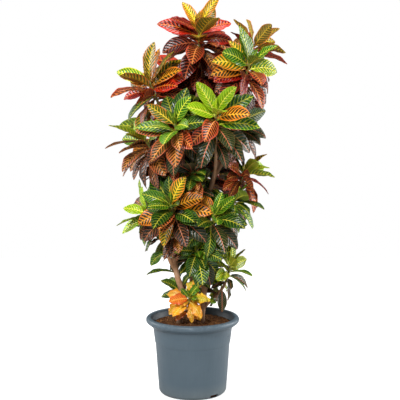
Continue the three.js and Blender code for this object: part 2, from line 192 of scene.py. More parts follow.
pot_outline = [(0, 0), (60, 0), (90, 0.6)]
pot_outline += arc(FOOT_RADIUS - FOOT_ROUND, FOOT_ROUND, FOOT_ROUND, -80, 0, 8)
pot_outline += [(112.2, 58), (BODY_RADIUS, BAND_FOOT - 4), (BODY_RADIUS + 0.5, BAND_FOOT - 2.4)]
pot_outline += [(BODY_RADIUS + BAND_STEP - 0.2, BAND_FOOT - 0.6)]
pot_outline += [(BODY_RADIUS + BAND_STEP + 0.3, BAND_FOOT + 1.5)]
pot_outline += [(124.4, 194), (SHOULDER_RADIUS - 0.4, RIM_FOOT - 4), (SHOULDER_RADIUS + 2, RIM_FOOT - 1.2)]
pot_outline += [(SHOULDER_RADIUS + 8, RIM_FOOT)]
pot_outline += arc(RIM_RADIUS - ROLL_RADIUS, POT_HEIGHT - ROLL_RADIUS, ROLL_RADIUS, -72, 135, 20)
pot_outline += [(MOUTH_RADIUS + 0.3, 244.5), (MOUTH_RADIUS - 0.6, 240), (129, 226)]
pot_outline += [(SHOULDER_RADIUS - WALL, 216), (BODY_RADIUS - WALL, BAND_FOOT - 4)]
pot_outline += [(FOOT_RADIUS - WALL, FOOT_ROUND + 6), (FOOT_RADIUS - WALL - 7, FLOOR), (0, FLOOR)]
pot_mesh = mesh_from(turned(pot_outline, POT_SEGMENTS), "nursery_pot")


def turned_out(degrees, radius, height):
    """A place at some turn round the pot's axis that faces outwards."""
    return Matrix.Rotation(math.radians(degrees), 4, "Z") @ Matrix.Translation((radius * MM, 0, height * MM))


def bore(made, radius, segments, spot):
    """A round cutter along the Z axis of its place."""
    size = radius * MM
    bmesh.ops.create_cone(
        made, cap_ends=True, segments=segments, radius1=size, radius2=size, depth=CUT * MM, matrix=spot
    )


# Two slots in the foot's corner, four holes in the floor and two pairs of clip holes, cut in one go.
cutters = bmesh.new()
for i in range(2):
    slot = turned_out(SLOT_TURN + 180 * i, FOOT_RADIUS, SLOT_HEIGHT) @ Matrix.Diagonal((CUT, *SLOT_SIZE, 1))
    bmesh.ops.create_cube(cutters, size=MM, matrix=slot)
for i in range(4):
    bore(cutters, DRAIN_RADIUS, 24, turned_out(90 * i, DRAIN_REACH, 0))
on_side = Matrix.Rotation(math.pi / 2, 4, "Y")
for degrees in CLIP_TURNS:
    bore(cutters, CLIP_RADIUS, 16, turned_out(degrees, SHOULDER_RADIUS, CLIP_HEIGHT) @ on_side)
cutter = bpy.data.objects.new("pot_cutters", mesh_from(cutters, "pot_cutters"))
bpy.context.scene.collection.objects.link(cutter)

# Moulded polypropylene: a dull, even sheen over a fine spark-eroded grain. The grain is drawn at 1.6 mm,
# four times its real size, so that it shows. Vertical draw marks, faint mottling, a scuffed, chalky rim,
# dust near the foot, and painted shade that darkens the inside wall above the mix.
polypropylene, tree, shader = finish("moulded_polypropylene", {"IOR": 1.49, "Specular IOR Level": 0.42})
where = add(tree, "TexCoord").outputs["Object"]
mottle = add(tree, "TexNoise", {"Scale": 14, "Detail": 5, "Roughness": 0.6}, {"Vector": where})
pulled = add(tree, "Mapping", {"Scale": (160, 160, 5)}, {"Vector": where})
draw_marks = add(tree, "TexNoise", {"Scale": 1, "Detail": 3}, {"Vector": pulled})
grain = add(tree, "TexNoise", {"Scale": 620, "Detail": 2}, {"Vector": where})
height = add(tree, "SeparateXYZ", links={0: where}).outputs["Z"]
on_rim = add(tree, "MapRange", {"From": (0.226, 0.25)}, {0: height})
rubbed = add(tree, "TexNoise", {"Scale": 90, "Detail": 6, "Roughness": 0.7}, {"Vector": where})
scuffed = add(tree, "MapRange", {"From": (0.5, 0.72), "To": (0, 0.28)}, {0: rubbed})
pale = add(tree, "Math MULTIPLY", links={0: on_rim, 1: scuffed})
near_foot = add(tree, "MapRange", {"From": (0.05, 0), "To": (0, 0.5)}, {0: height})
dusty = add(tree, "Math MULTIPLY", links={0: near_foot, 1: mottle})
base = add(tree, "Mix RGBA", {6: "3f4e58", 7: "4b5a64"}, {0: mottle})
streaked = add(tree, "MapRange", {"From": (0.5, 0.85), "To": (0, 0.14)}, {0: draw_marks})
base = add(tree, "Mix RGBA", {7: "55676e"}, {0: streaked, 6: base})
base = add(tree, "Mix RGBA", {7: "93a4b0"}, {0: pale, 6: base})
base = add(tree, "Mix RGBA", {7: "7d7f78"}, {0: dusty, 6: base})
# Painted shade: the inside wall above the mix is darkened to near black, standing in for the shade that
# falls there.
outwards = add(tree, "VectorMath MULTIPLY", {1: (1, 1, 0)}, {0: where})
reach = add(tree, "VectorMath LENGTH", links={0: outwards})
inside = add(tree, "MapRange", {"From": (0.137, 0.132), "To": (0, 0.88)}, {0: reach})
above_foot = add(tree, "Math GREATER_THAN", {1: 0.222}, {0: height})
inside_painted_shade = add(tree, "Math MULTIPLY", links={0: inside, 1: above_foot})
base = add(tree, "Mix RGBA", {7: "191f23"}, {0: inside_painted_shade, 6: base})
sheen = add(tree, "MapRange", {"To": (0.42, 0.58)}, {0: rubbed})
relief = add(tree, "Bump", {"Strength": 0.35, "Distance": 0.0004}, {"Height": grain})
relief = add(tree, "Bump", {"Strength": 0.3, "Distance": 0.0012}, {"Height": draw_marks, "Normal": relief})
coat(tree, shader, base, sheen, relief)

pot = place(pot_mesh, "nursery_pot", [polypropylene], "pot", ["pot"])
opened = pot.modifiers.new("openings", "BOOLEAN")
opened.operation = "DIFFERENCE"
opened.solver = "EXACT"
opened.object = cutter
cut_pot = pot.evaluated_get(bpy.context.evaluated_depsgraph_get())
pot.data = bpy.data.meshes.new_from_object(cut_pot)
pot.modifiers.clear()
pot.data.set_sharp_from_angle(angle=math.radians(40))
bpy.data.objects.remove(cutter)

# ---- Stems -----------------------------------------------------------------------------------------------
# Three woody stems, rooted in the mix, each forking into branches that carry one head of leaves apiece. The
# wood is grown, not made: light brown bark, ridged along the stem and ringed where old leaves have dropped.

FOOT_DEPTH = 110
GAP = 0.4
STEMS = {
    "left": (
        (11, 6.4),
        [(-42, -12, FOOT_DEPTH), (-42, -12, 236), (-33, -10, 322), (-50, -6, 385)]
        + [(-60, 0, 460), (-62, 8, 600), (-68, 10, 700), (-78, 4, 790)],
    ),
    "middle": (
        (11.5, 6.2),
        [(-6, 26, FOOT_DEPTH), (-6, 26, 240), (-2, 34, 330), (4, 42, 450)]
        + [(8, 42, 600), (2, 36, 740), (6, 26, 880), (20, 12, 985)],
    ),
    "right": (
        (11, 6.6),
        [(28, -8, FOOT_DEPTH), (28, -8, 236), (36, -4, 330), (47, -6, 450)]
        + [(50, -12, 560), (58, -18, 664), (84, -20, 752), (106, -8, 840)],
    ),
}
BRANCH_FOOT = 6
BRANCH_OUTWARDS = 0.55
BRANCH_PULL = 0.35
SHOOT_BASE = 4.4
SHOOT_TIP = 3.4
BARK_SIDES = 20

# Each head of leaves: the top of its green shoot, the shoot's slope to the right and to the back, how many
# leaves, their length, the shoot's length, and the stem that its branch leaves with how many spans up it.
HEADS = {
    "top": ((20, -8, 1170), (-0.03, -0.12), 33, 150, 104, "middle", 6.9),
    "right_front": ((176, -92, 1059), (0.3, -0.4), 24, 132, 74, "right", 6.9),
    "right_back": ((196, 62, 1117), (0.3, 0.25), 25, 132, 78, "right", 6.4),
    "left_high": ((-135, -24, 1004), (-0.4, -0.15), 29, 150, 94, "left", 6.9),
    "centre_front": ((72, -150, 910), (0, -0.5), 22, 142, 76, "right", 5.1),
    "left_front": ((-52, -142, 877), (-0.15, -0.5), 22, 140, 76, "left", 5.4),
    "left_wide": ((-150, -50, 827), (-0.6, -0.25), 22, 146, 74, "left", 4.8),
    "right_mid": ((150, -66, 882), (0.45, -0.3), 18, 126, 60, "right", 5.5),
    "back_high": ((-10, 132, 1025), (-0.15, 0.5), 18, 140, 66, "middle", 5.3),
    "back_right": ((120, 150, 935), (0.35, 0.5), 18, 138, 64, "middle", 4.5),
    "back_left": ((-112, 138, 835), (-0.4, 0.5), 18, 138, 64, "left", 4.5),
    "low_front": ((-66, -112, 627), (-0.3, -0.5), 20, 138, 70, "left", 3.5),
    "low_left": ((-142, -26, 590), (-0.6, -0.1), 18, 126, 52, "left", 3.2),
    "mid_front": ((0, -84, 733), (0, -0.5), 16, 124, 56, "left", 4.3),
    "low_right": ((68, -112, 593), (0.3, -0.5), 16, 128, 56, "right", 3.1),
    "right_arm": ((168, -4, 724), (0.45, 0), 14, 116, 52, "right", 4.4),
    "right_low": ((140, -36, 641), (0.5, -0.2), 13, 120, 50, "right", 3.5),
    "left_low": ((-78, 58, 722), (-0.45, 0.3), 13, 98, 50, "left", 4.1),
    "back_mid": ((52, 146, 717), (0.2, 0.55), 16, 132, 58, "middle", 3.3),
    "back_low": ((-22, 106, 502), (-0.1, 0.45), 15, 122, 54, "middle", 2.0),
    "low_middle": ((14, -78, 483), (0.1, -0.55), 15, 114, 50, "middle", 2.2),
    "low_centre": ((56, 22, 497), (0.18, 0.2), 13, 106, 46, "right", 1.9),
    "sprig": ((124, -14, 424), (0.3, -0.1), 11, 92, 62, "right", 1.35),
    "base": ((-10, -58, 326), (0.05, -0.5), 19, 84, 40, "left", 1.1),
}


def unit(v):
    return v / np.linalg.norm(v)


def stem_curve(route):
    """The smooth line through a stem's points, as a function of a share from 0 to 1."""
    points = np.array(route, float)
    ends = [2 * points[0] - points[1], 2 * points[-1] - points[-2]]

    def at(t):
        span = (len(points) - 1) * t
        first = min(int(span), len(points) - 2)
        w = span - first
        before = points[first - 1] if first > 0 else ends[0]
        after = points[first + 2] if first + 2 < len(points) else ends[1]
        a, b = points[first], points[first + 1]
        ta, tb = 0.5 * (b - before), 0.5 * (after - a)
        return a + ta * w + (-3 * a + 3 * b - 2 * ta - tb) * w * w + (2 * a - 2 * b + ta + tb) * w * w * w

    return at


def straight(start, end):
    return lambda t: start + (end - start) * t


def tangent(curve, t):
    return unit(curve(min(1, t + 1e-3)) - curve(max(0, t - 1e-3)))


def branch_curve(foot, axis, stem, spans):
    """A branch rises from its stem, bends outwards and ends in line with its head's green shoot."""
    route = STEMS[stem][1]
    trunk = stem_curve(route)
    t = spans / (len(route) - 1)
    start, end = trunk(t), foot - axis * GAP
    reach = np.linalg.norm(end - start) * BRANCH_PULL
    outwards = unit((end - start) * (1, 1, 0))
    first = start + unit(tangent(trunk, t) + outwards * BRANCH_OUTWARDS) * reach
    second = end - axis * reach

    def at(s):
        k = 1 - s
        return start * k**3 + first * (3 * k * k * s) + second * (3 * k * s * s) + end * s**3

    return at


def ring_at(curve, t, radii):
    """Points round a curve at a share t of its length, each at its own radius."""
    along = tangent(curve, t)
    across = unit(np.cross((0, 1, 0), along))
    other = np.cross(along, across)
    turns = [2 * math.pi * k / len(radii) for k in range(len(radii))]
    return [curve(t) + (across * math.cos(a) + other * math.sin(a)) * r for a, r in zip(turns, radii)]


def limb(curve, first_radius, last_radius, sides, steps):
    """A plain limb round a curve, as points and triangles."""
    points = []
    for i in range(steps + 1):
        radius = first_radius + (last_radius - first_radius) * i / steps
        points += ring_at(curve, i / steps, [radius] * sides)
    faces = []
    for i in range(steps):
        for k in range(sides):
            a, b = i * sides + k, i * sides + (k + 1) % sides
            faces += [(a, b, b + sides), (a, b + sides, a + sides)]
    last = steps * sides
    for k in range(1, sides - 1):
        faces += [(0, k + 1, k), (last, last + k, last + k + 1)]
    return np.array(points), faces


def grown_limb(made, curve, first_radius, last_radius, length, seed, flare):
    """Bark along a curve: swollen at its foot and at leaf scars, with ridges and small dents."""
    steps = max(6, round(length / 7))
    rings = []
    for i in range(steps + 1):
        t = i / steps
        radius = first_radius + (last_radius - first_radius) * t + flare * math.exp(-t * length / 16)
        scar = max(0, math.sin(t * length / 4.2 + seed)) ** 6 * 0.045
        radii = []
        for k in range(BARK_SIDES):
            a = 2 * math.pi * k / BARK_SIDES
            spot = Vector((math.cos(a) * 1.3 + seed, math.sin(a) * 1.3, t * length / 30))
            radii.append(radius * (1 + scar + 0.09 * noise.noise(spot) + 0.03 * noise.noise(spot * 4)))
        rings.append([made.verts.new(p * MM) for p in ring_at(curve, t, radii)])
    skin(made, rings)
    for end in (rings[0][::-1], rings[-1]):
        made.faces.new(end)


heads = []
for name, (tip, lean, leaves, leaf, shoot, stem, spans) in HEADS.items():
    axis = unit(np.array([*lean, 1.0]))
    tip = np.array(tip, float)
    foot = tip - axis * shoot
    head = {"name": name, "tip": tip, "axis": axis, "leaves": leaves, "leaf": leaf, "shoot": shoot}
    head |= {"stem": stem, "branch": branch_curve(foot, axis, stem, spans), "line": straight(foot, tip)}
    heads.append(head)

# Croton bark: thin, dry and matt. Cork ridges 3 mm apart run up the stem, darker in the furrows, with pale
# lenticels and patches of grey bloom. The bottom 60 mm above the mix is darker.
bark, tree, shader = finish("croton_bark", {"Specular IOR Level": 0.25, "IOR": 1.45})
where = add(tree, "TexCoord").outputs["Object"]
stretched = add(tree, "Mapping", {"Scale": (330, 330, 42)}, {"Vector": where})
ridges = add(tree, "TexNoise", {"Scale": 1, "Detail": 4, "Roughness": 0.65}, {"Vector": stretched})
patches = add(tree, "TexNoise", {"Scale": 38, "Detail": 5, "Roughness": 0.6}, {"Vector": where})
flecks = add(tree, "TexVoronoi", {"Scale": 150}, {"Vector": where})
dotted = add(tree, "MapRange", {"From": (0.12, 0.3), "To": (0.35, 0)}, {0: flecks})
base = add(tree, "Mix RGBA", {6: "664430", 7: "c6966e"}, {0: ridges})
weathered = add(tree, "MapRange", {"From": (0.45, 0.72), "To": (0, 0.6)}, {0: patches})
base = add(tree, "Mix RGBA", {7: "b29780"}, {0: weathered, 6: base})
base = add(tree, "Mix RGBA", {7: "b89f7d"}, {0: dotted, 6: base})
height = add(tree, "SeparateXYZ", links={0: where}).outputs["Z"]
# The bark is darker over the bottom 60 mm above the mix.
darker_foot = add(tree, "MapRange", {"From": (0.3, 0.235), "To": (0, 0.75)}, {0: height})
base = add(tree, "Mix RGBA", {7: "2e2013"}, {0: darker_foot, 6: base})
dryness = add(tree, "MapRange", {"To": (0.7, 0.95)}, {0: ridges})
relief = add(tree, "Bump", {"Strength": 0.8, "Distance": 0.0012}, {"Height": ridges})
coat(tree, shader, base, dryness, relief)

for stem_name, (radii, route) in STEMS.items():
    made = bmesh.new()
    trunk = stem_curve(route)
    grown_limb(made, trunk, radii[0], radii[1], route[-1][2] - route[0][2], len(stem_name), 2)
    for head in heads:
        if head["stem"] == stem_name:
            length = np.linalg.norm(head["branch"](1) - head["branch"](0))
            grown_limb(made, head["branch"], BRANCH_FOOT, SHOOT_BASE, length, head["leaf"] % 7, 1.5)
    stem_mesh = mesh_from(made, "woody_stem_" + stem_name, 60)
    place(stem_mesh, "woody_stem_" + stem_name, [bark], "bark", ["stem_" + stem_name])

# ---- Potting mix -----------------------------------------------------------------------------------------
# Composted bark and coir, poured in loose round the stems and settled into a low mound 20 mm below the rim.
# Chips of bark and curled coir strands lie on it, half sunk in.

SOIL_TOP = 228
SOIL_MOUND = 4
SOIL_LUMP = 2.2
SOIL_RADIUS = SHOULDER_RADIUS - WALL - 2
SOIL_RINGS = 46
SOIL_SEGMENTS = 132
CHIPS = 620
STRANDS = 330
STRAND_STEPS = 8
CHIP_SEED = 90017


def random_stream(seed):
    """A repeatable stream of random numbers: the next draw lies between low and high."""
    state = seed

    def draw(low, high):
        nonlocal state
        state = state * 48271 % 2147483647
        return low + (high - low) * state / 2147483647

    draw(0, 1)
    draw(0, 1)
    return draw


def soil_height(x, y):
    """The mix's surface: a mound with broad lumps and crumbs."""
    share = min(1, math.hypot(x, y) / SOIL_RADIUS)
    lump = SOIL_LUMP * (math.sin(x * 0.23 + y * 0.11) + math.sin(y * 0.29 - x * 0.07)) * 0.6
    crumb = 2.4 * noise.noise(Vector((x, y, 3)) * 0.09) + 1.5 * noise.noise(Vector((x, y, 9)) * 0.3)
    return SOIL_TOP + SOIL_MOUND * (1 - share * share) + lump * (1 - share**6) + crumb


soil_outline = [(0, FLOOR + GAP), (FOOT_RADIUS - WALL - 7 - 2 * GAP, FLOOR + GAP)]
soil_outline += [(FOOT_RADIUS - WALL - 2 * GAP, FOOT_ROUND + 6)]
soil_outline += [(BODY_RADIUS - WALL - 2 * GAP, BAND_FOOT - 4), (SOIL_RADIUS, SOIL_TOP - 4)]
soil_outline += [(SOIL_RADIUS * ring / SOIL_RINGS, SOIL_TOP) for ring in range(SOIL_RINGS, -1, -1)]
made = turned(soil_outline, SOIL_SEGMENTS)
for vert in made.verts:
    if vert.co.z > (SOIL_TOP - 1) * MM:
        vert.co.z = soil_height(vert.co.x / MM, vert.co.y / MM) * MM
soil_mesh = mesh_from(made, "potting_mix", 180)

# Potting mix: damp composted bark and coir, dark brown and matt, with lighter threads 0.5 to 1 mm wide.
mix, tree, shader = finish("potting_mix", {"Specular IOR Level": 0.15, "IOR": 1.4})
where = add(tree, "TexCoord").outputs["Object"]
clod = {"Scale": 95, "Detail": 6, "Roughness": 0.7, "Distortion": 0.6}
clods = add(tree, "TexNoise", clod, {"Vector": where})
threads = add(tree, "TexNoise", {"Scale": 420, "Detail": 3, "Distortion": 2.5}, {"Vector": where})
base = add(tree, "Mix RGBA", {6: "1a1009", 7: "5b371e"}, {0: clods})
threaded = add(tree, "MapRange", {"From": (0.54, 0.7), "To": (0, 0.7)}, {0: threads})
base = add(tree, "Mix RGBA", {7: "8c5e36"}, {0: threaded, 6: base})
dryness = add(tree, "MapRange", {"To": (0.8, 1)}, {0: clods})
relief = add(tree, "Bump", {"Strength": 1, "Distance": 0.003}, {"Height": clods})
relief = add(tree, "Bump", {"Strength": 0.8, "Distance": 0.001}, {"Height": threads, "Normal": relief})
coat(tree, shader, base, dryness, relief)
place(soil_mesh, "potting_mix", [mix], "soil", ["soil"])

draw = random_stream(CHIP_SEED)
chips = bmesh.new()
for i in range(CHIPS):
    reach, turn = math.sqrt(draw(0, 1)) * (SOIL_RADIUS - 7), draw(0, 6.283)
    x, y = reach * math.cos(turn), reach * math.sin(turn)
    size = draw(2.0, 6.5)
    spot = Matrix.Translation(Vector((x, y, soil_height(x, y) + size * 0.1)) * MM)
    spin = Matrix.Rotation(draw(0, 6.28), 4, Vector((draw(-1, 1), draw(-1, 1), 1.2)).normalized())
    shape = Matrix.Diagonal((size * MM, size * draw(0.4, 0.8) * MM, size * draw(0.25, 0.5) * MM, 1))
    before = len(chips.verts)
    bmesh.ops.create_icosphere(chips, subdivisions=1, radius=0.6, matrix=spot @ spin @ shape)
    chips.verts.ensure_lookup_table()
    for vert in chips.verts[before:]:
        vert.co += Vector((draw(-0.7, 0.7), draw(-0.7, 0.7), draw(-0.5, 0.5))) * MM
for i in range(STRANDS):
    reach, turn = math.sqrt(draw(0, 1)) * (SOIL_RADIUS - 12), draw(0, 6.283)
    x, y, aim = reach * math.cos(turn), reach * math.sin(turn), draw(0, 6.283)
    curl, length, thick = draw(-0.25, 0.25), draw(8, 22), draw(0.25, 0.5)
    rings = []
    for step in range(STRAND_STEPS + 1):
        z = soil_height(x, y) + 0.6 + 1.6 * math.sin(step * 0.4 + turn)
        side = Vector((-math.sin(aim), math.cos(aim), 0)) * thick
        corners = [Vector((x, y, z)) + side, Vector((x, y, z)) - side, Vector((x, y, z + thick * 1.6))]
        rings.append([chips.verts.new(c * MM) for c in corners])
        x, y = x + math.cos(aim) * length / STRAND_STEPS, y + math.sin(aim) * length / STRAND_STEPS
        aim += curl + draw(-0.25, 0.25)
    skin(chips, rings)
    for end in (rings[0], rings[-1]):
        chips.faces.new(end)
chip_mesh = mesh_from(chips, "bark_and_coir", 30)

# Bark chips and coir strands: torn, dry and matt, from near black to straw, each a slightly different brown.
chip_finish, tree, shader = finish("torn_bark_and_coir", {"Specular IOR Level": 0.2, "IOR": 1.4})
where = add(tree, "TexCoord").outputs["Object"]
each = add(tree, "TexVoronoi", {"Scale": 130}, {"Vector": where})
shade = add(tree, "SeparateColor", links={0: each.outputs["Color"]})
fibre = add(tree, "TexNoise", {"Scale": 700, "Detail": 3}, {"Vector": where})
base = add(tree, "Mix RGBA", {6: "20130b", 7: "865832"}, {0: shade})
worn = add(tree, "MapRange", {"From": (0.45, 0.8), "To": (0, 0.5)}, {0: fibre})
base = add(tree, "Mix RGBA", {7: "a8804e"}, {0: worn, 6: base})
dryness = add(tree, "MapRange", {"To": (0.75, 1)}, {0: fibre})
relief = add(tree, "Bump", {"Strength": 0.6, "Distance": 0.0006}, {"Height": fibre})
coat(tree, shader, base, dryness, relief)
place(chip_mesh, "bark_and_coir", [chip_finish], "soil")

# ---- Heads of leaves -------------------------------------------------------------------------------------
# Each head is a green shoot with a close spiral of leathery leaves: upright and freshly coloured at the tip,
# arched over and darkening lower down. Each leaf grows from the shoot on a short stalk and has its own room.

BARE_FOOT = 9
BARE_TIP = 3
SHOOT_ROOM = 6
LEAF_TURN = 137.508
LEAF_ROOT = 2
STALK_RADIUS = 1.2
THICKNESS = 1.7
WIDEST = 0.55
ROUNDNESS = 0.74
WAVES = 13
LARGE_LEAF = 140
STATIONS = (0, 0.3, 0.6, 0.86)
FEW_STATIONS = (0, 0.36, 0.74)
FACING = 50
TWISTED = 0.35
CROWN = (0, 60)
CLEAR_FROM = 0.12
ROOM = (1.8, 1.8, 2.2)
TRIES = 15
SEEDS = {"leaf": (15013, 977), "fill": (30011, 613), "branch": (50021, 811), "stem": (61001, 313)}
SEEDS |= {"head colours": (70001, 389), "stem colours": (81001, 211)}


def seeded(what, order):
    """The stream of random numbers for one of a row of heads or stems."""
    first, step = SEEDS[what]
    return random_stream(first + step * order)


def leaf_plan(head, index, draw):
    """What one leaf is like. Age runs from 0, at the tip, to 1, the oldest, and angles are in degrees."""
    age = index / (head["leaves"] - 1)
    youth = max(0, 1 - 4 * age)
    return {
        "age": age,
        "down": BARE_TIP + (head["shoot"] - BARE_TIP - BARE_FOOT) * age,
        "turn": LEAF_TURN * index + draw(-9, 9),
        "tilt": 20 + 77 * age + draw(-7, 7),
        "length": head["leaf"] * (1 - 0.22 * youth - 0.08 * age) * draw(0.9, 1.06),
        "width": draw(0.37, 0.49),
        "bend": 24 + 40 * age + draw(-9, 12),
        "roll": draw(-22, 22),
        "fold": draw(5, 11),
        "wave": draw(0.5, 1.8),
        "phase": draw(0, 6.28),
    }


def leaf_frame(head, plan, change, u):
    """The midrib, side and face at shares u of the leaf's length, as it arches over from the shoot.

    Near its stalk it twists to turn its upper face out of the crown, to the light.
    """
    u = np.asarray(u, float)[:, None]
    turn, tilt, scale = change
    turn = math.radians(plan["turn"] + turn)
    axis = head["axis"]
    flat = unit(np.array([1, 0, -axis[0] / axis[2]]))
    out = flat * math.cos(turn) + np.cross(axis, flat) * math.sin(turn)
    start, bend = math.radians(plan["tilt"] + tilt), math.radians(plan["bend"])
    now = start + bend * u
    length = plan["length"] * scale
    rise = (length / bend) * (np.sin(now) - math.sin(start))
    run = (length / bend) * (math.cos(start) - np.cos(now))
    middle = head["tip"] - axis * plan["down"] + out * LEAF_ROOT + axis * rise + out * run
    level = np.cross(axis, out)
    upper = axis * np.sin(now) - out * np.cos(now)
    outwards = unit(np.array([head["tip"][0] - CROWN[0], head["tip"][1] - CROWN[1], 0]))
    roll = math.radians(plan["roll"] - FACING * (outwards @ level)) * np.minimum(1, u / TWISTED)
    across = level * np.cos(roll) + upper * np.sin(roll)
    face = upper * np.cos(roll) - level * np.sin(roll)
    return middle, across, face, length


def half_width(u):
    """Half the leaf's width as a share of its full width: a long oval, wedge-shaped at its foot."""
    foot = ROUNDNESS * WIDEST / (1 - WIDEST)
    fullest = WIDEST**foot * (1 - WIDEST) ** ROUNDNESS
    return 0.5 * u**foot * (1 - u) ** ROUNDNESS / fullest


def plain_leaf(head, plan, change, stations, room):
    """The leaf's few corners, with room round it: left edge, right edge and keel at each station."""
    edge, above, below = room
    middle, across, face, length = leaf_frame(head, plan, change, stations + (1,))
    points = []
    for i, u in enumerate(stations):
        half = max(STALK_RADIUS, plan["width"] * length * half_width(u)) + edge
        lift = 0 if u == 0 else half * math.tan(math.radians(plan["fold"]))
        for hand in (-1, 1):
            ripple = 0 if u == 0 else plan["wave"] * math.sin(WAVES * u + plan["phase"] + hand)
            points.append(middle[i] + across[i] * (hand * half) + face[i] * (lift + ripple + above))
        points.append(middle[i] - face[i] * (2 * STALK_RADIUS if u == 0 else THICKNESS + below))
    return np.array(points + [middle[-1]])


def plain_faces(count):
    """The triangles of a plain leaf with so many stations."""
    faces = [(0, 1, 2)]
    for i in range(count - 1):
        for k in range(3):
            a, b = 3 * i + k, 3 * i + (k + 1) % 3
            faces += [(a, b + 3, b), (a, a + 3, b + 3)] if k == 2 else [(a, a + 3, b), (b, a + 3, b + 3)]
    point = 3 * count
    return faces + [(point - 3 + k, point, point - 3 + (k + 1) % 3) for k in range(3)]


class Crowd:
    """Everything that a new leaf has to stay clear of: closed surfaces with their boxes and their owners."""

    def __init__(self):
        self.boxes, self.owners = np.zeros((0, 2, 3)), np.zeros(0, int)
        self.surfaces = []

    def surface(self, points, faces):
        points = points.astype(np.float32).astype(float)
        faces = np.array(faces)
        pairs = np.concatenate([faces[:, [0, 1]], faces[:, [1, 2]], faces[:, [2, 0]]])
        return points[faces], points[pairs[pairs[:, 0] < pairs[:, 1]]]

    def take_in(self, points, faces, owner=-1):
        self.surfaces.append(self.surface(points, faces))
        self.boxes = np.concatenate([self.boxes, [[points.min(0), points.max(0)]]])
        self.owners = np.append(self.owners, owner)

    def meets(self, points, faces, owner):
        low, high = points.min(0) - 0.01, points.max(0) + 0.01
        near = (self.boxes[:, 1] >= low).all(1) & (self.boxes[:, 0] <= high).all(1) & (self.owners != owner)
        others = [self.surfaces[k] for k in np.nonzero(near)[0]]
        if not others:
            return False
        triangles, edges = self.surface(points, faces)
        near_triangles, near_edges = (
            shapes[(shapes.max(1) >= low).all(1) & (shapes.min(1) <= high).all(1)]
            for shapes in map(np.concatenate, zip(*others))
        )
        return pierces(edges, near_triangles) or pierces(near_edges, triangles)


def pierces(edges, triangles):
    """Whether any edge goes through any triangle."""
    if len(edges) == 0 or len(triangles) == 0:
        return False
    corner = triangles[:, 0]
    normal = np.cross(triangles[:, 1] - corner, triangles[:, 2] - corner)
    level = (corner * normal).sum(1)
    # Most edges have both their ends on one side of a triangle's plane, and need no closer look.
    i, k = np.nonzero((edges[:, 0] @ normal.T - level) * (edges[:, 1] @ normal.T - level) <= 1e-3)
    p, d = edges[i, 0], edges[i, 1] - edges[i, 0]
    a = triangles[k, 0]
    e, f = triangles[k, 1] - a, triangles[k, 2] - a
    h = np.cross(d, f)
    size = (e * h).sum(1)
    flat = np.abs(size) < 1e-9
    size = np.where(flat, 1, size)
    s = p - a
    u = (s * h).sum(1) / size
    g = np.cross(s, e)
    v = (d * g).sum(1) / size
    t = (f * g).sum(1) / size
    return bool((~flat & (u >= 0) & (u <= 1) & (v >= 0) & (u + v <= 1) & (t >= 0) & (t <= 1)).any())


def clear_of_pot(points):
    """Low leaves may hang inside the pot's mouth or outside its rim."""
    radius, z = np.hypot(points[:, 0], points[:, 1]), points[:, 2]
    outside = (z > POT_HEIGHT + 8) | (radius > RIM_RADIUS + 8)
    inside = (radius < MOUTH_RADIUS - 14) & (z > SOIL_TOP + SOIL_MOUND + 8)
    return bool((outside | inside).all())


def change_for(attempt):
    """The small changes tried in turn until a leaf has its own room."""
    hand = 1 if attempt % 2 == 0 else -1
    turn = hand * 8 * math.ceil((attempt % 7) / 2)
    tilt = hand * 11 * math.ceil((attempt % 5) / 2)
    return turn, tilt, 1 - 0.026 * attempt


# Two places where the foliage stands open and a stem shows: lowest and highest corner, up to the stem.
OPEN = [((44, -240, 672), (96, -30, 744)), ((-70, -220, 352), (-24, -26, 440))]
STEM_OWNER = 2000
BRANCH_OWNER = 1000


def box_surface(low, high):
    """A box as corners and triangles."""
    corners = [(x, y, z) for x in (low[0], high[0]) for y in (low[1], high[1]) for z in (low[2], high[2])]
    quads = [(0, 1, 3, 2), (4, 6, 7, 5), (0, 4, 5, 1), (2, 3, 7, 6), (0, 2, 6, 4), (1, 5, 7, 3)]
    return np.array(corners, float), [t for a, b, c, d in quads for t in ((a, b, c), (a, c, d))]


def bare_plant(branch_sides, branch_steps, shoot_sides, shoot_room):
    """The crowd before any leaf grows: stems, branches, shoots with room round them, and the open places."""
    crowd = Crowd()
    for k, (radii, route) in enumerate(STEMS.values()):
        crowd.take_in(*limb(stem_curve(route), *radii, 8, 10), owner=STEM_OWNER + k)
    for corners in OPEN:
        crowd.take_in(*box_surface(*corners))
    for order, head in enumerate(heads):
        branch = limb(head["branch"], BRANCH_FOOT, SHOOT_BASE, branch_sides, branch_steps)
        crowd.take_in(*branch, owner=BRANCH_OWNER + order)
        shoot = limb(head["line"], SHOOT_BASE + shoot_room, SHOOT_TIP + shoot_room, shoot_sides, 1)
        crowd.take_in(*shoot, owner=order)
    return crowd


def grow(crowd, twig, plan, stations, room, owner, kept, edge=-math.inf):
    """Keeps the leaf with the first small change whose plain form clears the crowd, the pot and the box."""
    low, high = np.array(cad_box) / MM
    faces = plain_faces(len(stations))
    for attempt in range(TRIES):
        change = change_for(attempt)
        corners = plain_leaf(twig, plan, change, stations, room)
        boxed = (corners > low + edge).all() and (corners < high - edge).all()
        if boxed and clear_of_pot(corners) and not crowd.meets(corners, faces, owner):
            crowd.take_in(corners, faces)
            kept.append((plan, change))
            return


crowd = bare_plant(5, 3, 4, SHOOT_ROOM)
for order, head in enumerate(heads):
    draw = seeded("leaf", order)
    head["stations"] = STATIONS if head["leaf"] >= LARGE_LEAF else FEW_STATIONS
    head["kept"], head["fill"] = [], []
    for index in range(head["leaves"]):
        plan = leaf_plan(head, index, draw)
        grow(crowd, head, plan, (CLEAR_FROM,) + head["stations"][1:], ROOM, order, head["kept"])

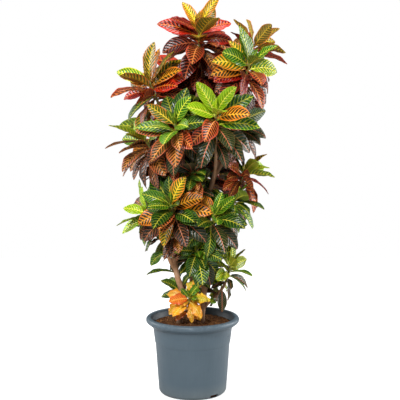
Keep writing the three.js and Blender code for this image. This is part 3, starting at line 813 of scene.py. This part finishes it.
# Smaller leaves fill the gaps: more on each shoot, some down the branches and a few on the stems themselves.
# They are kept clear in the same way, with less room round them, and turn more freely towards the light.
FILL_SHARE = 0.8
FILL_ROOM = (0.4, 0.4, 0.4)
FILL_STATIONS = (0.14, 0.4, 0.76)
FILL_EDGE = 3
close = bare_plant(6, 6, 6, 2)
for head in heads:
    for plan, change in head["kept"]:
        corners = plain_leaf(head, plan, change, head["stations"], (0, 0, 0))
        close.take_in(corners, plain_faces(len(head["stations"])))


def fill_plan(age, down, length, draw):
    """What one of the smaller leaves is like."""
    return {
        "age": age,
        "down": down,
        "turn": draw(0, 360),
        "tilt": 16 + 82 * age + draw(-14, 14),
        "length": length * draw(0.74, 1),
        "width": draw(0.34, 0.48),
        "bend": 20 + 44 * age + draw(-9, 14),
        "roll": draw(-26, 26),
        "fold": draw(5, 12),
        "wave": draw(0.5, 1.9),
        "phase": draw(0, 6.28),
    }


def fill(twig, plan, owner, kept):
    grow(close, twig, plan, FILL_STATIONS, FILL_ROOM, owner, kept, FILL_EDGE)


for order, head in enumerate(heads):
    draw = seeded("fill", order)
    # The three youngest leaves stand upright and folded at the shoot's tip.
    for bud in range(3):
        plan = fill_plan(0, 1, head["leaf"] * 0.42, draw)
        plan |= {"turn": 120 * bud + draw(0, 40), "tilt": draw(5, 13), "bend": draw(6, 16)}
        plan |= {"width": draw(0.26, 0.34), "fold": draw(18, 28), "roll": draw(-15, 15)}
        fill(head, plan, order, head["fill"])
    count = round(head["leaves"] * FILL_SHARE)
    for i in range(count):
        age = 0.06 + 0.92 * (i + 0.5) / count
        down = BARE_TIP + (head["shoot"] - BARE_TIP - BARE_FOOT) * age
        fill(head, fill_plan(age, down, head["leaf"], draw), order, head["fill"])

# Twigs are short stretches of branch or stem that carry leaves: a point, a direction and what it is part of.
TWIG_GAP = 26
STEM_TWIGS = 26
STEM_LEAF = 100
twigs = {stem_name: [] for stem_name in STEMS}

# One old leaf hangs straight down below the side sprig.
sprig = list(HEADS).index("sprig")
twig = {"tip": heads[sprig]["branch"](0.78), "axis": np.array([0, 0, 1.0]), "name": "sprig", "kept": []}
hanging = {"age": 1, "down": 0, "turn": -90, "tilt": 168, "length": 74, "width": 0.42}
hanging |= {"bend": 10, "roll": 40, "fold": 9, "wave": 0.8, "phase": 1}
fill(twig, hanging, BRANCH_OWNER + sprig, twig["kept"])
twigs["right"].append(twig)

for order, head in enumerate(heads):
    draw = seeded("branch", order)
    branch = head["branch"]
    length = np.linalg.norm(branch(1) - branch(0))
    for i in range(max(2, round(length / TWIG_GAP))):
        t = 0.96 - 0.66 * i / max(1, round(length / TWIG_GAP))
        twig = {"tip": branch(t), "axis": tangent(branch, t), "name": head["name"], "kept": []}
        for side in range(2):
            plan = fill_plan(draw(0.5, 0.95), 0, head["leaf"] * 0.78, draw)
            fill(twig, plan, BRANCH_OWNER + order, twig["kept"])
        twigs[head["stem"]].append(twig)
for k, (stem_name, (radii, route)) in enumerate(STEMS.items()):
    draw = seeded("stem", k)
    trunk = stem_curve(route)
    for i in range(STEM_TWIGS):
        t = 0.24 + 0.74 * i / (STEM_TWIGS - 1)
        twig = {"tip": trunk(t), "axis": tangent(trunk, t), "name": "low_middle", "kept": []}
        fill(twig, fill_plan(draw(0.35, 0.9), 0, STEM_LEAF, draw), STEM_OWNER + k, twig["kept"])
        twigs[stem_name].append(twig)

# A leaf's fine surface: rows along it and columns across, an upper and a lower face that share their edge.
# It departs a little from the plain form that was kept clear, so the edges of some leaves cross.
ROWS = 24
COLUMNS = np.array([-1, -0.76, -0.48, -0.17, 0, 0.17, 0.48, 0.76, 1])
row_shares = 1 - (1 - np.linspace(0, 1, ROWS + 1)[:-1]) ** 1.5
WIDE = len(COLUMNS)


def leaf_topology():
    """Faces over the upper points, then the lower ones without the shared edges, then the tip."""
    upper = np.arange(ROWS * WIDE).reshape(ROWS, WIDE)
    lower = upper.copy()
    lower[:, 1:-1] = ROWS * WIDE + np.arange(ROWS * (WIDE - 2)).reshape(ROWS, WIDE - 2)
    tip = ROWS * WIDE + ROWS * (WIDE - 2)
    top, under = [], []
    for i in range(ROWS - 1):
        for j in range(WIDE - 1):
            top.append((upper[i, j], upper[i, j + 1], upper[i + 1, j + 1], upper[i + 1, j]))
            under.append((lower[i, j], lower[i + 1, j], lower[i + 1, j + 1], lower[i, j + 1]))
    for j in range(WIDE - 1):
        top.append((upper[-1, j], upper[-1, j + 1], tip))
        under.append((lower[-1, j], tip, lower[-1, j + 1]))
    under.append(tuple(upper[0, ::-1]) + tuple(lower[0, 1:-1]))
    return top, under, tip + 1


TOP_FACES, UNDER_FACES, LEAF_POINTS = leaf_topology()


def fine_leaf(head, plan, change, crinkle=0):
    """A leaf's points and, for each, its place: share along, share across, distance out over length."""
    u = row_shares
    middle, across, face, length = leaf_frame(head, plan, change, u)
    blade = plan["width"] * length * half_width(u)
    ramp = np.clip((u - 0.02) / 0.17, 0, 1)
    lobes = 1 + crinkle * (0.13 * np.sin(15 * u + plan["phase"]) + 0.09 * np.sin(29 * u + 2 * plan["phase"]))
    taper = 1 - (0.2 + 0.1 * math.sin(3 * plan["phase"])) * np.clip((u - 0.62) / 0.38, 0, 1) ** 1.5
    stalk = STALK_RADIUS * (1 - 0.5 * u)
    half = np.maximum(stalk, blade * ramp * ramp * (3 - 2 * ramp) * lobes * taper)[:, None]
    w = COLUMNS[None, :]
    out = np.abs(w)
    hand = np.sign(w)
    lift = half * math.tan(math.radians(plan["fold"])) * out**1.3
    phase = WAVES * u[:, None] + plan["phase"] + hand
    wave = plan["wave"] * (1 + 1.6 * crinkle)
    ripple = wave * (np.sin(phase) * out**2 + 0.45 * np.sin(2.3 * phase + 1) * out**3)
    ripple *= np.clip(u / 0.15, 0, 1)[:, None] * np.clip((1 - u) / 0.1, 0, 1)[:, None]
    bulge = 0.22 * half * out * (1 - out)
    round_stalk = np.clip(1 - u / 0.16, 0, 1)[:, None]
    groove = -0.35 * (out == 0) * (1 - round_stalk)
    top = lift + ripple + bulge + groove + round_stalk * STALK_RADIUS * 0.9 * (1 - out)
    thick = 0.95 - 0.45 * out + (0.3 + 1.3 * (1 - u[:, None]) ** 1.5) * (out == 0)
    low = top - (thick + round_stalk * 1.1 * (1 - out))
    points = middle[:, None] + across[:, None] * (w * half)[..., None]
    upper = points + face[:, None] * top[..., None]
    lower = points[:, 1:-1] + face[:, None] * low[:, 1:-1, None]
    tip = leaf_frame(head, plan, change, [1])[0] + face[-1] * 0.2
    spots = np.zeros((ROWS, WIDE, 3))
    spots[..., 0], spots[..., 1], spots[..., 2] = u[:, None], w, w * half / length
    places = np.concatenate([spots.reshape(-1, 3), spots[:, 1:-1].reshape(-1, 3), [[1, 0, 0]]])
    return np.concatenate([upper.reshape(-1, 3), lower.reshape(-1, 3), tip]), places


# What a leaf is coloured: between its veins, along its veins, on its midrib and out at its margin, where the
# blush starts; then how far out to the margin the first one reaches, and how much of the space between two
# veins is the second one's. Croton leaves open green and yellow, then redden and darken as they age.
LIVERIES = {
    "lime": ("739c0c", "cfd22a", "efe860", "b4c826", 0.95, 0.18),
    "citron": ("47760f", "d2cc24", "ece452", "c2bc22", 0.9, 0.24),
    "green": ("255a0e", "a2b622", "e2dc4c", "86a31e", 1.0, 0.17),
    "deep": ("143a0e", "7c9222", "d6c43e", "55761c", 1.0, 0.13),
    "olive": ("43550c", "ceac1e", "edcc3c", "d0701e", 0.9, 0.3),
    "gold": ("382e0a", "dd8a18", "efae34", "d8741a", 0.8, 0.36),
    "flame": ("5a0e06", "c2330f", "ee8a28", "b4200c", 0.55, 0.34),
    "red": ("4c0a08", "a82412", "e2722c", "94170f", 0.65, 0.28),
    "rust": ("421d0d", "c8622c", "e89a50", "b44226", 0.85, 0.27),
    "maroon": ("290e0b", "92381e", "cc6e42", "8e2a1c", 0.95, 0.22),
    "copper": ("3e2e0f", "c27a30", "e09a52", "bc5832", 0.9, 0.27),
    "umber": ("292013", "88592f", "d27e58", "98482f", 1.0, 0.19),
    "dusk": ("172a10", "415420", "d6745a", "5a4426", 1.0, 0.13),
    "straw": ("a8a226", "d2b830", "e8d86a", "dca82a", 0.6, 0.3),
    "butter": ("d4941a", "e8b02a", "f2d264", "e08a26", 0.6, 0.3),
    "amber": ("c8621a", "e68a2e", "f2b450", "cc5420", 0.6, 0.3),
}
HEAD_LIVERIES = {
    "top": "olive olive olive red flame red rust rust copper maroon rust maroon",
    "right_front": "green green olive copper rust maroon red maroon umber",
    "right_back": "olive olive flame red maroon rust maroon",
    "left_high": "olive olive gold flame rust rust maroon rust",
    "centre_front": "lime lime copper green rust green copper dusk dusk",
    "left_front": "green deep green copper rust copper umber dusk",
    "left_wide": "lime lime green copper copper rust umber",
    "right_mid": "lime green deep dusk dusk umber dusk",
    "back_high": "olive olive flame red rust maroon maroon",
    "back_right": "green olive gold rust red maroon dusk",
    "back_left": "lime green olive rust gold dusk maroon",
    "low_front": "green deep gold deep copper umber umber dusk",
    "low_left": "lime lime green umber dusk deep",
    "mid_front": "deep dusk deep dusk copper dusk",
    "low_right": "green deep deep deep dusk deep",
    "right_arm": "olive lime green red rust maroon rust",
    "right_low": "green deep deep green dusk",
    "left_low": "green deep dusk deep dusk",
    "back_mid": "green deep gold dusk rust deep",
    "back_low": "green deep deep dusk deep",
    "low_middle": "green green deep deep deep dusk",
    "low_centre": "green deep deep dusk deep",
    "sprig": "citron citron citron green citron dusk",
    "base": "green green butter butter butter butter amber butter amber",
}
# Some leaves turn sooner or later than the rest of their head. They are counted from the head's tip.
ODD_LEAVES = {
    "top": {4: "red", 6: "flame", 7: "flame", 8: "olive", 12: "olive", 14: "maroon"},
    "right_front": {6: "citron", 8: "rust", 10: "gold", 16: "rust"},
    "left_high": {1: "citron", 2: "gold", 9: "rust", 10: "flame", 11: "red", 14: "deep"}
    | dict.fromkeys((0, 20), "olive"),
    "centre_front": {3: "lime", 4: "gold", 5: "lime", 6: "rust", 9: "copper", 13: "dusk"},
    "left_front": {1: "olive", 5: "deep", 16: "dusk"},
    "left_wide": {2: "green", 3: "copper", 5: "green", 6: "copper"},
    "low_front": {0: "olive", 4: "gold", 8: "gold", 11: "olive", 12: "gold"},
    "low_left": {4: "lime", 5: "umber", 7: "lime", 11: "green"},
    "low_right": {1: "gold", 9: "dusk"},
    "base": {3: "amber", 8: "butter", 11: "butter", 14: "butter"} | dict.fromkeys((4, 5, 6, 18), "straw"),
}
SLOTS = {"red": "top right_back back_high", "orange": "left_high low_front right_arm"}
SLOTS |= {"olive": "right_front left_front back_right mid_front", "lime": "centre_front left_wide sprig"}
SLOTS |= {"dark": "left_low low_centre", "yellow": "base"}
slot_of = {name: "leaf_" + slot for slot, names in SLOTS.items() for name in names.split()}

LEAF_COLOURS = ("blade_colour", "vein_colour", "rib_colour", "blush_colour")


def leaf_finish(name, settings, underside):
    """Croton leaf: veins that run out and forwards from the midrib, with a darker colour between them."""
    material, tree, shader = finish(name, settings)
    spot = add(tree, "Attribute", {"attribute_name": "leaf_place"}).outputs["Vector"]
    parts = add(tree, "SeparateXYZ", links={0: spot})
    along = parts.outputs[0]
    hand = add(tree, "Math SIGN", links={0: parts.outputs[1]})
    share = add(tree, "Math ABSOLUTE", links={0: parts.outputs[1]})
    off = add(tree, "Math ABSOLUTE", links={0: parts.outputs[2]})
    mark = add(tree, "Attribute", {"attribute_name": "leaf_mark"})
    marks = add(tree, "SeparateXYZ", links={0: mark.outputs["Vector"]})
    cover, vein_share = marks.outputs[0], marks.outputs[2]
    own = add(tree, "VectorMath MULTIPLY", {1: (0, 31, 17)}, {0: mark.outputs["Vector"]})
    own = add(tree, "VectorMath ADD", links={0: spot, 1: own})
    wander = add(tree, "TexNoise", {"Scale": 9, "Detail": 3}, {"Vector": own})
    flush = add(tree, "TexNoise", {"Scale": 3, "Detail": 2}, {"Vector": own})
    pores = add(tree, "TexNoise", {"Scale": 90, "Detail": 2}, {"Vector": own})

    # Ten or so pairs of side veins, which curve towards the leaf's point and wander a little.
    slant = add(tree, "Math MULTIPLY_ADD", {1: -1.5, 2: -0.75}, {0: off})
    slant = add(tree, "Math MULTIPLY_ADD", links={0: off, 1: slant, 2: along})
    count = add(tree, "Math MULTIPLY", {1: 10}, {0: slant})
    shifted = add(tree, "Math MULTIPLY_ADD", {1: 0.17}, {0: hand, 2: count})
    wandering = add(tree, "Math MULTIPLY_ADD", {1: 0.7}, {0: flush, 2: shifted})
    wandering = add(tree, "Math MULTIPLY_ADD", {1: 0.16}, {0: wander, 2: wandering})
    swing = add(tree, "Math PINGPONG", {1: 0.5}, {0: wandering})
    gap = add(tree, "Math MULTIPLY_ADD", {1: -2, 2: 1}, {0: swing})

    # The dark colour starts a little way off each vein, further off near the midrib, where a vein is widest.
    # It stops short of the margin where it covers less.
    start = add(tree, "Math SUBTRACT", {1: 0.16}, {0: vein_share})
    start = add(tree, "Math MULTIPLY_ADD", {1: 0.24}, {0: wander, 2: start})
    widened = add(tree, "MapRange", {"From": (0, 0.45), "To": (0.2, 0)}, {0: share})
    start = add(tree, "Math ADD", links={0: start, 1: widened})
    full = add(tree, "Math ADD", {1: 0.13}, {0: start})
    between = add(tree, "MapRange SMOOTHSTEP", links={0: gap, 1: start, 2: full})
    stop = add(tree, "MapRange", {"From": (0.4, 1), "To": (0.45, 1)}, {0: cover})
    stop = add(tree, "Math MULTIPLY_ADD", {1: 0.25}, {0: flush, 2: stop})
    faded = add(tree, "Math SUBTRACT", {1: 0.22}, {0: stop})
    inner = add(tree, "MapRange SMOOTHSTEP", {"To": (1, 0)}, {0: share, 1: faded, 2: stop})
    patch = add(tree, "Math MULTIPLY", links={0: between, 1: inner})

    rib_edge = add(tree, "Math MULTIPLY_ADD", {1: -0.013, 2: 0.02}, {0: along})
    rib_core = add(tree, "Math MULTIPLY", {1: 0.45}, {0: rib_edge})
    rib = add(tree, "MapRange SMOOTHSTEP", {"To": (1, 0)}, {0: off, 1: rib_core, 2: rib_edge})
    margin = add(tree, "MapRange", {"From": (0.9, 0.99), "To": (0, 0.6)}, {0: share})
    line = add(tree, "MapRange", {"From": (0.14, 0.03), "To": (0, 0.5)}, {0: gap})
    bright = add(tree, "Math MAXIMUM", links={0: rib, 1: margin})
    bright = add(tree, "Math MAXIMUM", links={0: bright, 1: line})

    blade_colour, vein_colour, rib_colour, blush_colour = (
        add(tree, "Attribute", {"attribute_name": colour}) for colour in LEAF_COLOURS
    )
    outer = add(tree, "Math MULTIPLY_ADD", {1: 0.9}, {0: flush, 2: share})
    blush = add(tree, "MapRange", {"From": (0.55, 1.35)}, {0: outer})
    veins = add(tree, "Mix RGBA", links={0: blush, 6: vein_colour, 7: blush_colour})
    lines = add(tree, "Mix RGBA", links={0: blush, 6: rib_colour, 7: veins})
    colour = add(tree, "Mix RGBA", links={0: patch, 6: veins, 7: blade_colour})
    colour = add(tree, "Mix RGBA", links={0: bright, 6: colour, 7: lines})
    tone = add(tree, "MapRange", {"From": (0.3, 0.7), "To": (0.78, 1.16)}, {0: flush})
    colour = add(tree, "VectorMath SCALE", links={0: colour, "Scale": tone})
    if underside:
        colour = add(tree, "Mix RGBA", {0: 0.06}, {6: colour, 7: vein_colour})
        colour = add(tree, "Mix RGBA", {0: 0.12, 7: "a07a5c"}, {6: colour})

    shine = {"To": (0.45, 0.68)} if underside else {"To": (0.2, 0.38)}
    gloss = add(tree, "MapRange", shine, {0: flush})
    quilt = add(tree, "Math SUBTRACT", links={0: gap, 1: rib})
    quilting = {"Strength": 0.62, "Distance": 0.0014, "invert": underside}
    relief = add(tree, "Bump", quilting, {"Height": quilt})
    relief = add(tree, "Bump", {"Strength": 0.2, "Distance": 0.0003}, {"Height": pores, "Normal": relief})
    coat(tree, shader, colour, gloss, relief)
    return material


# The upper face has a thick waxy cuticle, so it shines softly. The underside is dull, paler and dustier. A
# little light comes through both.
lit_through = {"IOR": 1.45, "Subsurface Weight": 0.12}
lit_through |= {"Subsurface Radius": (1, 0.6, 0.2), "Subsurface Scale": 0.002}
waxy_leaf = leaf_finish("waxy_croton_leaf", lit_through | {"Specular IOR Level": 0.34}, False)
leaf_underside = leaf_finish("croton_leaf_underside", lit_through | {"Specular IOR Level": 0.22}, True)

# Green shoot: this year's growth, smooth and waxy, green with brown leaf scars every few millimetres.
green_shoot, tree, shader = finish("green_shoot_skin", {"IOR": 1.45, "Specular IOR Level": 0.4})
where = add(tree, "TexCoord").outputs["Object"]
scars = add(tree, "TexNoise", {"Scale": 190, "Detail": 3}, {"Vector": where})
tint = add(tree, "MapRange", {"From": (0.4, 0.62)}, {0: scars})
base = add(tree, "Mix RGBA", {6: "7d8a35", 7: "6d5230"}, {0: tint})
gloss = add(tree, "MapRange", {"To": (0.4, 0.65)}, {0: scars})
relief = add(tree, "Bump", {"Strength": 0.5, "Distance": 0.0006}, {"Height": scars})
coat(tree, shader, base, gloss, relief)


def foliage_mesh(name, leaves, shoot=(np.zeros((0, 3)), [])):
    """One mesh of fine leaves and their shoot. A leaf is its points, places, livery, shade and own share."""
    layers = {label: [] for label in ("leaf_place", "leaf_mark") + LEAF_COLOURS}
    for _, places, livery, shade, own in leaves:
        *hexes, cover, vein_share = LIVERIES[livery]
        mark = [cover, own, vein_share * (0.45 + 1.15 * own)]
        colours = [np.array(linear(colour)) * [shade, shade, shade, 1] for colour in hexes]
        for values, value in zip(layers.values(), [places, mark] + colours):
            values.append(np.broadcast_to(value, (LEAF_POINTS, np.shape(value)[-1])))
    faces = []
    for first in range(0, len(leaves) * LEAF_POINTS, LEAF_POINTS):
        faces += [[first + corner for corner in face] for face in TOP_FACES + UNDER_FACES]
    faces += [[len(leaves) * LEAF_POINTS + corner for corner in face] for face in shoot[1]]
    mesh = bpy.data.meshes.new(name)
    mesh.from_pydata(np.concatenate([leaf[0] for leaf in leaves] + [shoot[0]]) * MM, [], faces)
    for label, values in layers.items():
        size = values[0].shape[1]
        layer = mesh.attributes.new(label, "FLOAT_COLOR" if size == 4 else "FLOAT_VECTOR", "POINT")
        flat = np.concatenate(values + [np.zeros((len(shoot[0]), size))]).astype(np.float32).ravel()
        layer.data.foreach_set("color" if size == 4 else "vector", flat)
    kinds = ([0] * len(TOP_FACES) + [1] * len(UNDER_FACES)) * len(leaves) + [2] * len(shoot[1])
    mesh.polygons.foreach_set("material_index", kinds)
    mesh.shade_smooth()

    # The margin, where the two faces meet, is the one sharp edge of a leaf.
    ends = np.zeros(len(mesh.edges) * 2, np.int32)
    mesh.edges.foreach_get("vertices", ends)
    column = np.concatenate([np.tile(COLUMNS, ROWS), np.zeros(ROWS * (WIDE - 2)), [1]])
    on_rim = np.concatenate([np.tile(np.abs(column) == 1, len(leaves)), np.zeros(len(shoot[0]), bool)])
    sharp = mesh.attributes.new("sharp_edge", "BOOLEAN", "EDGE")
    sharp.data.foreach_set("value", on_rim[ends.reshape(-1, 2)].all(1))
    mesh.update()
    return mesh


def livery_for(name, age, draw, order=None):
    """The livery of a leaf of some age: its head's list in order, blurred by a step either way."""
    names = HEAD_LIVERIES[name].split()
    usual = names[max(0, min(len(names) - 1, int(age * len(names) + draw(-0.8, 0.8))))]
    return ODD_LEAVES.get(name, {}).get(order, usual)


for order, head in enumerate(heads):
    draw = seeded("head colours", order)
    crinkle = 1 if head["name"] == "base" else 0
    leaves = []
    for count, (plan, change) in enumerate(head["kept"] + head["fill"]):
        livery = livery_for(head["name"], plan["age"], draw, count)
        leaves.append((*fine_leaf(head, plan, change, crinkle), livery, draw(0.74, 1.24), draw(0, 1)))
    shoot = limb(head["line"], SHOOT_BASE, SHOOT_TIP, 12, 8)
    name = "leaves_" + head["name"]
    mesh = foliage_mesh(name, leaves, shoot)
    slot = slot_of.get(head["name"], "leaf_green")
    place(mesh, name, [waxy_leaf, leaf_underside, green_shoot], slot, ["head_" + head["name"]])

for k, (stem_name, carried) in enumerate(twigs.items()):
    draw = seeded("stem colours", k)
    leaves = []
    for twig in carried:
        for plan, change in twig["kept"]:
            livery = livery_for(twig["name"], plan["age"], draw)
            leaves.append((*fine_leaf(twig, plan, change), livery, draw(0.72, 1.12), draw(0, 1)))
    mesh = foliage_mesh("stem_leaves_" + stem_name, leaves)
    place(mesh, "stem_leaves_" + stem_name, [waxy_leaf, leaf_underside], "leaf_green")

# ---- Studio ----------------------------------------------------------------------------------------------
# A white paper floor in a bright white room. A large soft lamp stands in front, high to the left, with
# weaker ones in front to the right, overhead and at both sides, a little behind the plant.

floor_mesh = bpy.data.meshes.new("studio_floor")
floor_mesh.from_pydata([(-2.4, -2.4, 0), (2.4, -2.4, 0), (2.4, 2.4, 0), (-2.4, 2.4, 0)], [], [(0, 1, 2, 3)])
floor = bpy.data.objects.new("studio_floor", floor_mesh)
bpy.context.scene.collection.objects.link(floor)
paper, tree, shader = finish(
    "white_paper_floor", {"Roughness": 0.9, "Specular IOR Level": 0.1, "Emission Color": (1, 1, 1, 1)}
)
where = add(tree, "TexCoord").outputs["Object"]
paper_tone = add(tree, "TexNoise", {"Scale": 3, "Detail": 2}, {"Vector": where})
base = add(tree, "Mix RGBA", {6: "bcbcbc", 7: "c4c4c4"}, {0: paper_tone})
connect(tree, base, shader.inputs["Base Color"])
seen = add(tree, "LightPath").outputs["Is Camera Ray"]
lit = add(tree, "MapRange", {"To": (0.1, 0.7)}, {0: seen})
connect(tree, lit, shader.inputs["Emission Strength"])
floor_mesh.materials.append(paper)

world = bpy.data.worlds.new("white_room")
world.use_nodes = True
tree = world.node_tree
background = tree.nodes["Background"]
background.inputs["Color"].default_value = (1, 1, 1, 1)
seen = add(tree, "LightPath").outputs["Is Camera Ray"]
brightness = add(tree, "MapRange", {"To": (0.13, 1)}, {0: seen})
connect(tree, brightness, background.inputs["Strength"])
bpy.context.scene.world = world


def softbox(name, spot, aim, size, power):
    lamp = bpy.data.lights.new(name, "AREA")
    lamp.shape = "SQUARE"
    lamp.size = size
    lamp.energy = power
    holder = bpy.data.objects.new(name, lamp)
    holder.location = spot
    holder.rotation_euler = (Vector(aim) - Vector(spot)).to_track_quat("-Z", "Y").to_euler()
    bpy.context.scene.collection.objects.link(holder)


softbox("key_softbox", (-1.1, -2.9, 2.5), (0, 0, 0.7), 0.9, 150)
softbox("fill_softbox", (2.0, -2.4, 1.5), (0, 0, 0.6), 1.4, 20)
softbox("top_softbox", (0.2, 0.1, 3.2), (0, 0, 0.8), 1.2, 58)
softbox("left_side_softbox", (-2.6, 1.0, 1.5), (0, 0, 0.55), 1.5, 62)
softbox("right_side_softbox", (2.6, 0.7, 1.2), (0, 0, 0.5), 1.5, 92)

# The photograph's view: slightly from above, from 3.5 m in front, with a long lens.
SENSOR = 36
PICTURE_PIXELS = 400
FOCAL_PIXELS = 1111
CAMERA_PLACE = (0.0237, -3.5, 1.0747)
CAMERA_DIP = 7.3
camera = bpy.data.cameras.new("camera")
camera.sensor_width = SENSOR
camera.lens = SENSOR * FOCAL_PIXELS / PICTURE_PIXELS
viewer = bpy.data.objects.new("camera", camera)
viewer.location = CAMERA_PLACE
viewer.rotation_euler = (math.radians(90 - CAMERA_DIP), 0, 0)
bpy.context.scene.collection.objects.link(viewer)
bpy.context.scene.camera = viewer
bpy.context.scene.view_settings.view_transform = "Standard"
